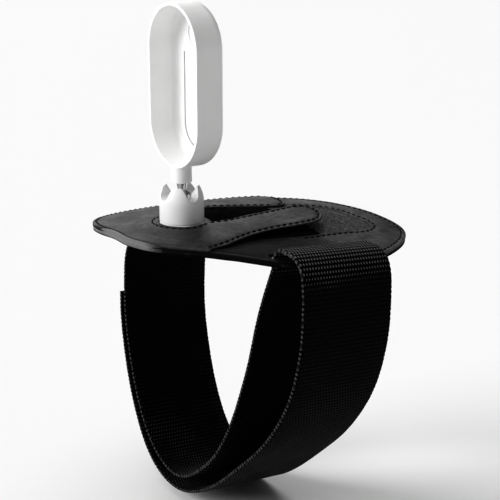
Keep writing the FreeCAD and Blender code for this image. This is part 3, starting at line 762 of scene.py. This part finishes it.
def build_upper_leather():
    """One cut of leather: the rounded left end, the long far arm and the lifted near arm."""
    outline = without(BORDER, GAP_LINE)
    outline = outline + normals_2d(outline) * (BAND_WIDTH * left_band(outline))[:, None]
    obj = sheet_piece("upper_leather", outline, [circle(CROWN_HOLE)], upper_height, upper_low_height,
                      LEATHER, spacing=1.2)
    finish_piece(obj, "black_leather", "top_cover", "near_arm")


def base_cover_height(xy, gap):
    z = skin_height(xy, BASE_TOP) - 0.05 + 0.1 * smooth_step(0.4, 5.0, gap) + wrinkles(xy, 15.0)
    return z - seam_groove(xy, [SEAM_EDGE, SEAM_WINDOW])


def rounded_box(x0, x1, y0, y1, radius):
    """A counter-clockwise rectangle with round corners."""
    corners = []
    for cx, cy, start in ((x1 - radius, y1 - radius, 0), (x0 + radius, y1 - radius, 90),
                          (x0 + radius, y0 + radius, 180), (x1 - radius, y0 + radius, 270)):
        for a in range(0, 91, 15):
            t = math.radians(start + a)
            corners.append((cx + radius * math.cos(t), cy + radius * math.sin(t)))
    return counter_clockwise(respaced(np.array(corners + corners[:1]), 0.8, True))


def build_base_cover():
    """Lower leather with the window for the felt and the slot for the webbing."""
    holes = [WINDOW_LINE, rounded_box(*SLOT, SLOT_RADIUS), circle(BASE_HOLE)]
    obj = sheet_piece("base_cover_leather", inset(BORDER, 0.02), holes, base_cover_height,
                      on_level(FOAM_TOP, 0.02), LEATHER_BASE)
    finish_piece(obj, "black_leather", "base_cover")


def build_foam():
    """Thin foam inside the rolled edge."""
    holes = [rounded_box(*LOW_SLOT, LOW_SLOT_RADIUS), circle(PLATE_HOLE)]
    obj = sheet_piece("foam_layer", inset(BORDER, FOAM_INSET), holes, on_level(FOAM_TOP, -0.01),
                      on_level(BACKING_TOP, 0.01), FOAM, spacing=3.0, roll=0.2,
                      rings=(0.2, 0.6, 1.4))
    finish_piece(obj, "foam", "foam_core")


def build_backing():
    """Knitted lining against the forearm, puffed a little between its edges."""
    def low(xy, gap):
        puff = 0.18 * smooth_step(0.5, 6.0, gap)
        return skin_height(xy, 0.0) + 0.2 - puff - 0.12 * flat_noise(xy, 6.0)

    obj = sheet_piece("backing_cloth", inset(BORDER, 0.25), [rounded_box(*LOW_SLOT, LOW_SLOT_RADIUS)],
                      on_level(BACKING_TOP, -0.01), low, LINING, spacing=2.0, roll=0.25)
    finish_piece(obj, "lining", "backing_lining")


def build_edge_roll():
    """Leather turned over the pad's edge: full on the left, pressed into thin layers in front."""
    line = counter_clockwise(smooth_line(PAD, 0.8, True))
    out = -normals_2d(line)
    height = skin_height(line, 0.0)
    near_front = smooth_step(-27.0, -16.0, line[:, 0]) * smooth_step(10.0, -8.0, line[:, 1])
    full = 1.0 - 0.75 * near_front
    xyz = np.column_stack([line, height])
    band = left_band(line)
    pucker = (0.16 * flat_noise(xyz, 5.0) + 0.10 * flat_noise(xyz, 1.9, 17.0)) * (1 - 0.8 * band)
    points, faces = [], []
    middle, half = 1.52 + 0.20 * band, 1.12 + 0.42 * band
    for turn in np.linspace(-math.pi / 2 - 0.35, math.pi / 2 + 0.25, 13):
        bulge = (0.75 + 0.25 * full + pucker * full + 0.25 * band) * math.cos(turn)
        rise = middle + half * math.sin(turn) * (0.80 + 0.20 * full)
        ripple = 0.12 * near_front * math.cos(3 * turn)
        side = line + out * (bulge - 1.15 + ripple)[:, None]
        points.append(np.column_stack([side, height + rise]))
    inner = line - out * ROLL_REACH
    points.append(np.column_stack([inner, height + FOAM_TOP - 0.03]))
    points.append(np.column_stack([inner, height + BACKING_TOP + 0.03]))
    rings, n = len(points), len(line)
    for k in range(rings):
        for i in range(n):
            j, m = (i + 1) % n, (k + 1) % rings
            faces.append((k * n + i, k * n + j, m * n + j, m * n + i))
    uv = np.vstack([p[:, :2] for p in points])
    obj = make_object("edge_roll_leather", np.vstack(points), faces, LEATHER_EDGE, uv)
    finish_piece(obj, "black_leather", "edge_piping")


# ------------------------ felt and soft lining in the window
FELT_START_X, FELT_RISE = 32.0, 0.42
LINING_END_X, LINING_THICK = 44.0, 0.42
FIBRES_TRIED, FIBRES_KEPT, FIBRE_HALF = 9000, 3600, 0.035
# A fibre's faces: its root's three points are 0 to 2, its bend's 3 to 5 and its tip is 6.
FIBRE_FACES = [(0, 1, 4, 3), (1, 2, 5, 4), (2, 0, 3, 5), (3, 4, 6), (4, 5, 6), (5, 3, 6), (2, 1, 0)]


def clipped(loop, x_limit, right):
    """The part of a loop on one side of an upright line, as one closed loop."""
    kept = loop[loop[:, 0] > x_limit] if right else loop[loop[:, 0] < x_limit]
    start = int(np.argmax(np.linalg.norm(np.diff(np.vstack([kept, kept[:1]]), axis=0), axis=1))) + 1
    kept = np.roll(kept, -start, 0)
    return respaced(np.vstack([kept, kept[:1]]), 0.9, True)


def build_felt():
    """Napped felt that fills the right part of the window, with loose fibre ends on top."""
    plan = clipped(inset(WINDOW_LINE, 0.15), FELT_START_X, True)

    def top(xy, gap):
        level = skin_height(xy, FOAM_TOP) + FELT_RISE
        return level + 0.10 * flat_noise(xy, 2.2) + 0.08 * flat_noise(xy, 0.9, 9.0)

    obj = sheet_piece("felt_sheet", plan, [], top, on_level(FOAM_TOP, 0.02), FELT, spacing=1.0,
                      roll=0.2, rings=(0.2, 0.5, 1.0))
    finish_piece(obj, "felt", "felt_panel")
    return obj, plan


def build_fibres(felt, plan):
    """Short loose fibres standing on the felt, each a thin bent sliver."""
    rng = np.random.default_rng(7)
    spots = rng.uniform((FELT_START_X, -33), (72, 9), (FIBRES_TRIED, 2))
    spots = spots[is_inside(spots, plan)][:FIBRES_KEPT]
    base = skin_height(spots, FOAM_TOP) + FELT_RISE
    turn = rng.uniform(0, 2 * math.pi, len(spots))
    length = rng.uniform(0.5, 1.5, len(spots))
    rise = rng.uniform(0.15, 0.6, len(spots))
    points, faces = [], []
    for (x, y), z, a, size, up in zip(spots, base, turn, length, rise):
        along = np.array([math.cos(a), math.sin(a), 0.0])
        side = np.array([-along[1], along[0], 0.0]) * FIBRE_HALF
        root = np.array([x, y, z])
        bend = root + along * size * 0.5 + np.array([0, 0, up])
        tip = root + along * size + np.array([0, 0, up * 0.5])
        start = len(points)
        points += [root - side, root + side, root + [0, 0, 0.05], bend - side, bend + side,
                   bend + [0, 0, 0.05], tip]
        faces += [tuple(start + i for i in face) for face in FIBRE_FACES]
    obj = make_object("felt_fibres", points, faces, FIBRE)
    finish_piece(obj, "felt")


def build_recess_lining():
    """Slack black lining crumpled in the left of the window, its end lying on the felt."""
    plan = counter_clockwise(clipped(inset(WINDOW_LINE, 0.15), LINING_END_X, False))

    def folds(xy):
        ridge = 1 - np.abs(flat_noise(xy, 5.0)) * 2
        small = 1 - np.abs(flat_noise(xy, 2.2, 31.0)) * 2
        return 0.75 * ridge + 0.3 * small

    def low(xy, gap):
        onto_felt = 0.62 * smooth_step(FELT_START_X - 3.0, FELT_START_X - 0.5, xy[:, 0])
        return skin_height(xy, FOAM_TOP) + 0.02 + onto_felt

    def top(xy, gap):
        calm = smooth_step(0, 2.0, gap) * (1 - 0.6 * smooth_step(24.0, 34.0, xy[:, 0]))
        return low(xy, gap) + LINING_THICK + np.maximum(folds(xy), -0.3) * calm

    obj = sheet_piece("crumpled_lining", plan, [], top, low, LINING, spacing=0.8, roll=0.2,
                      rings=(0.3, 0.8))
    finish_piece(obj, "lining", "recess_lining")


# ------------------------ stitches
STITCH, STITCH_GAP, THREAD_RADIUS = 1.75, 1.05, 0.34
SEAM_STEP = 0.1  # spacing of the points that stitches are measured out on
PROBE = 0.3  # reach of the four heights that give the leather's slope under a stitch


def stitch_mesh(path, up, points, faces):
    """One sewn stitch: a short thread that dips into the leather at both ends."""
    count, sides = 9, 8
    start = len(points)
    along = path[-1] - path[0]
    along = along / np.linalg.norm(along)
    side = np.cross(up, along)
    side = side / np.linalg.norm(side)
    for k in range(count):
        t = k / (count - 1)
        spot = path[0] + (path[-1] - path[0]) * t
        arch = math.sin(math.pi * t) ** 0.5
        radius = THREAD_RADIUS * (0.45 + 0.55 * arch)
        centre = spot + up * (0.26 * arch - 0.22)
        for s in range(sides):
            a = 2 * math.pi * s / sides
            points.append(centre + side * radius * math.cos(a) + up * radius * 0.85 * math.sin(a))
    faces.extend(tube_faces(start, count, sides))


def build_stitches(name, loop, height, keep, *nodes):
    """All stitches of a closed seam whose ends and middle pass a test, on a height function."""
    fine = respaced(np.vstack([loop, loop[:1]]), SEAM_STEP)
    pitch = int(round((STITCH + STITCH_GAP) / SEAM_STEP))
    length = int(round(STITCH / SEAM_STEP))
    points, faces = [], []
    for i in range(0, len(fine) - length, pitch):
        piece = fine[[i, i + length // 2, i + length]]
        if not keep(piece).all():
            continue
        h = height(piece[1] + np.array([(PROBE, 0), (-PROBE, 0), (0, PROBE), (0, -PROBE)]))
        up = np.array([(h[1] - h[0]) / (2 * PROBE), (h[3] - h[2]) / (2 * PROBE), 1.0])
        stitch_mesh(np.column_stack([piece, height(piece)]), up / np.linalg.norm(up), points, faces)
    obj = make_object(name, points, faces, THREAD)
    finish_piece(obj, "thread", *nodes)


def plain_base(xy):
    return skin_height(xy, BASE_TOP) - 0.02


def on_far_edge(xy):
    """Where the upper leather is sewn down: along the pad's far side only."""
    return ~is_inside(xy, WIDE_GAP) & (xy[:, 1] > 6.0)


def on_far_arm(xy):
    """Along the far arm's inner side, from beside the crown to its tip."""
    return (xy[:, 1] > 4.5) & (xy[:, 1] < 25.0) & (xy[:, 0] > 15.0) & is_inside(xy, BORDER)


def right_of(x_low):
    """Where the base leather's seams show, from a given X on."""
    return lambda xy: is_inside(xy, NARROW_GAP) & (xy[:, 0] > x_low)


def round_crown(xy):
    """The crown's ring leaves off where the leather ends and where the arm's seam starts."""
    turn = np.degrees(np.arctan2(xy[:, 1], xy[:, 0]))
    return ~is_inside(xy, WIDE_GAP) & ((turn < -62) | (turn > 40))


def on_arm_sides(xy):
    """The arm's seam runs out both its long sides; its root is one with the cover."""
    return (np.hypot(xy[:, 0], xy[:, 1]) > 11.9) & ((xy[:, 0] > 4.5) | (xy[:, 1] < -29.0))


def upper_seam_height(xy):
    return skin_height(xy, PAD_TOP) + arm_lift(xy) + 0.02


def build_all_stitches():
    build_stitches("stitches_edge", SEAM_FAR, lambda xy: upper_seam_height(xy) - 0.14, on_far_edge,
                   "thread_edge")
    build_stitches("stitches_far_arm", SEAM_INNER, upper_seam_height, on_far_arm)
    build_stitches("stitches_base", SEAM_EDGE, plain_base, right_of(57.0), "thread_base")
    build_stitches("stitches_window", SEAM_WINDOW, plain_base, right_of(33.0), "thread_window")
    build_stitches("stitches_crown", SEAM_CROWN, upper_seam_height, round_crown, "thread_ring")
    build_stitches("stitches_arm", SEAM_ARM, upper_seam_height, on_arm_sides, "thread_arm")


# ------------------------ webbing
BACK_FACE_SHIFT = 60.0  # sets the columns of the webbing's two faces apart
TAPE_WIDTH, HOOK_THICK, LOOP_THICK, TAPE_STEP = 36.0, 0.55, 0.8, 0.6
PEARL_EVERY, HOOKS_EVERY = 5, 3  # points of the line from one pearl or row of hooks to the next


def strap_section():
    """Section with round rims: (across, off the middle, rim share) of each point round it.

    The outer face is fine enough for the relief of the woven loops.
    """
    half, thick = STRAP_WIDTH / 2, STRAP_THICK / 2
    woven = COLUMN_PITCH * COLUMNS / 2
    out = [(woven - COLUMN_PITCH / 2 * i, thick, 0.0) for i in range(2 * COLUMNS + 1)]
    turns = [math.radians(a) for a in range(36, 180, 36)]
    out += [(-woven - (half - woven) * math.sin(t), thick * math.cos(t), 1.0) for t in turns]
    out += [(woven * (i / 2 - 1), -thick, 0.0) for i in range(5)]
    out += [(woven + (half - woven) * math.sin(t), -thick * math.cos(t), 1.0) for t in turns]
    return out


def leaned(reach, yz):
    """Points of a line in the YZ plane moved across the webbing by a distance from its -X rim."""
    reach = np.broadcast_to(reach, len(yz))
    x = STRAP_X0 + reach * STRAP_LEAN[0]
    return np.column_stack([x, yz[:, 0] + reach * STRAP_LEAN[1], yz[:, 1] + reach * STRAP_LEAN[2]])


def swept_strap(name, line, section, material, rib=0.0, edge_rib=0.0, shift=0.0):
    """Sweeps a section along a line in the YZ plane, moved outwards by shift.

    Rib is the height of the woven loops and edge_rib that of the waves along the rims.
    """
    half_width = STRAP_WIDTH / 2
    side = left_of(directions(line))
    run = run_lengths(line)
    wave = np.sin(run / RIB_PITCH * 2 * math.pi)
    row = np.floor(run / RIB_PITCH + 1e-6)
    rings, uvs = [], []
    for across, off, edge in section:
        column = (across + WEAVE_START) / COLUMN_PITCH
        loops = np.abs(np.sin(math.pi * run / RIB_PITCH) * np.sin(math.pi * (column + 0.5 * row)))
        loops = loops * (1 - edge) if off > 0 else 0 * run
        puff = rib * loops + shift
        outward = edge * edge_rib * (0.5 + 0.5 * wave) * (1.0 if across > 0 else -1.0)
        spot = line + side * (off + puff)[:, None]
        rings.append(leaned(half_width - across - outward, spot))
        column_at = across + WEAVE_START + (BACK_FACE_SHIFT if off < 0 else 0)
        uvs.append(np.column_stack([np.full(len(run), column_at), run]))
    count, n = len(rings), len(line)
    faces = []
    for k in range(count):
        m = (k + 1) % count
        faces += [(k * n + i, m * n + i, m * n + i + 1, k * n + i + 1) for i in range(n - 1)]
    faces.append(tuple(k * n for k in reversed(range(count))))
    faces.append(tuple(k * n + n - 1 for k in range(count)))
    return make_object(name, np.vstack(rings), faces, material, np.vstack(uvs))


def build_strap():
    """The one long elastic webbing, from under the far side to its free tail."""
    line = smooth_line(RUN, RIB_PITCH / 4)
    strap = swept_strap("webbing_strap", line, strap_section(), WEBBING, rib=0.30, edge_rib=0.28)
    finish_piece(strap, "elastic", "strap_webbing")
    build_selvedges(line)


def build_selvedges(line):
    """Edge yarn of the webbing: a row of small pearls along both rims."""
    along = directions(line)
    side = left_of(along)
    points, faces = [], []
    rings, sides = 5, 8
    rim = STRAP_WIDTH / 2 - 0.15
    for sign in (-1, 1):
        for i in range(2, len(line) - 2, PEARL_EVERY):
            spot, forward, up = line[i], along[i], side[i]
            start = len(points)
            for k in range(rings):
                t = k / (rings - 1) * math.pi
                reach, wide = 0.98 * math.cos(t), math.sin(t) * 0.5 + 0.08
                for s in range(sides):
                    a = 2 * math.pi * s / sides
                    yz = spot + forward * reach + up * wide * 1.15 * math.sin(a)
                    across = STRAP_WIDTH / 2 + sign * rim + 0.55 * wide * math.cos(a)
                    points.append(leaned(across, yz[None, :])[0])
            faces += tube_faces(start, rings, sides)
    obj = make_object("webbing_selvedge", points, faces, SELVEDGE)
    finish_piece(obj, "elastic")


def tape_section(width, thick):
    """Flat section with a chamfered rim, as swept_strap takes it."""
    half = width / 2
    flat = [half - 0.3 - (width - 0.6) * i / 8 for i in range(9)]
    out = [(x, thick / 2, 0.0) for x in flat]
    out += [(-half, thick / 4, 0.0), (-half, -thick / 4, 0.0)]
    out += [(-x, -thick / 2, 0.0) for x in flat]
    out += [(half, -thick / 4, 0.0), (half, thick / 4, 0.0)]
    return out


def build_tapes():
    """Hook tape inside the tail and loop tape on the inner layer, pressed face to face."""
    tail = smooth_line(RUN[-3:], TAPE_STEP)
    hook = swept_strap("hook_tape_base", tail, tape_section(TAPE_WIDTH, HOOK_THICK), HOOK,
                       shift=STRAP_THICK / 2 + 0.32)
    finish_piece(hook, "hook_plastic", "hook_tape")
    build_hooks(tail)
    patch = smooth_line(RUN[7:11], TAPE_STEP)
    loop = swept_strap("loop_tape_pile", patch, tape_section(TAPE_WIDTH, LOOP_THICK), LOOP,
                       shift=STRAP_THICK / 2 + 0.45)
    finish_piece(loop, "felt", "loop_tape")


def build_hooks(tail):
    """Rows of small moulded hooks on the hook tape."""
    along = directions(tail)
    side = left_of(along)
    points, faces = [], []
    for i in range(2, len(tail) - 2, HOOKS_EVERY):
        for column in range(-16, 17, 2):
            reach = STRAP_WIDTH / 2 + column + (0.5 if i % 2 else 0.0)
            root = tail[i] + side[i] * (STRAP_THICK / 2 + 0.58)
            tip = root + side[i] * 0.38
            end = tip + along[i] * 0.35 - side[i] * 0.12
            start = len(points)
            for spot, size in ((root, 0.16), (tip, 0.13), (end, 0.06)):
                for dx, dy in ((-1, -1), (1, -1), (1, 1), (-1, 1)):
                    yz = spot + along[i] * dy * size
                    points.append(leaned(reach + dx * size, yz[None, :])[0])
            faces += tube_faces(start, 3, 4)
    obj = make_object("hook_tape_hooks", points, faces, HOOK)
    finish_piece(obj, "hook_plastic")


# ------------------------ camera, floor and light
VIEW_AZIMUTH, VIEW_ELEVATION = math.radians(-35.0), math.radians(16.0)
VIEW_DISTANCE, AIM_RIGHT, AIM_UP = 0.52727, 0.02688, -0.01166  # metres
LENS, SENSOR = 96.05, 36.0
FLOOR_HALF, FLOOR_BELOW = 12.0, 0.0006  # metres


def turned_along(obj, direction):
    """Turns a camera or a lamp, which look down -Z, along a direction."""
    obj.rotation_mode = "QUATERNION"
    obj.rotation_quaternion = direction.to_track_quat("-Z", "Y")


def build_camera():
    """Camera with the photograph's direction and perspective."""
    back = Vector((math.sin(VIEW_AZIMUTH) * math.cos(VIEW_ELEVATION),
                   -math.cos(VIEW_AZIMUTH) * math.cos(VIEW_ELEVATION), math.sin(VIEW_ELEVATION)))
    right = (-back).cross(Vector((0, 0, 1))).normalized()
    up = right.cross(-back)
    aim = Vector((0, 0, PAD_TOP * MM)) + right * AIM_RIGHT + up * AIM_UP
    data = bpy.data.cameras.new("camera")
    data.lens = LENS
    data.sensor_width = SENSOR
    data.clip_start, data.clip_end = 0.01, 50.0
    camera = add_object("camera", data)
    camera.location = aim + back * VIEW_DISTANCE
    turned_along(camera, -back)
    SCENE.camera = camera


def build_floor():
    mesh = bpy.data.meshes.new("floor")
    size, z = FLOOR_HALF, CAD_BOX[0].z - FLOOR_BELOW
    mesh.from_pydata([(-size, -size, z), (size, -size, z), (size, size, z), (-size, size, z)], [],
                     [(0, 1, 2, 3)])
    n = Nodes("pale_floor")
    n.set(Base_Color=(0.88, 0.88, 0.88, 1), Roughness=0.9, Specular_IOR_Level=0.1)
    mesh.materials.append(n.material)
    add_object("floor", mesh)


def build_light():
    """A soft low key from the left and behind, a weak light from above, a rim light and a dim room."""
    world = bpy.data.worlds.new("studio")
    world.use_nodes = True
    background = world.node_tree.nodes["Background"]
    background.inputs["Color"].default_value = (1, 1, 1, 1)
    background.inputs["Strength"].default_value = 0.10
    SCENE.world = world
    soft_sun("key_left", (-0.86, 0.24, 0.44), 2.6, 34)
    soft_sun("top_fill", (0.0, 0.15, 1.0), 1.15, 70)
    soft_sun("rim_behind", (0.30, 0.82, 0.40), 0.6, 40)


def soft_sun(name, towards, power, spread_degrees):
    """A sun that shines from a direction, with soft shadows."""
    data = bpy.data.lights.new(name, "SUN")
    data.energy = power
    data.angle = math.radians(spread_degrees)
    turned_along(add_object(name, data), -Vector(towards))


# The photograph's contrast is hard, with white plastic next to black leather.
SCENE.view_settings.view_transform = "Standard"
SCENE.view_settings.look = "Medium High Contrast"
build_camera()
build_floor()
build_light()
build_upper_leather()
build_base_cover()
build_foam()
build_backing()
build_edge_roll()
build_fibres(*build_felt())
build_recess_lining()
build_all_stitches()
build_strap()
build_tapes()
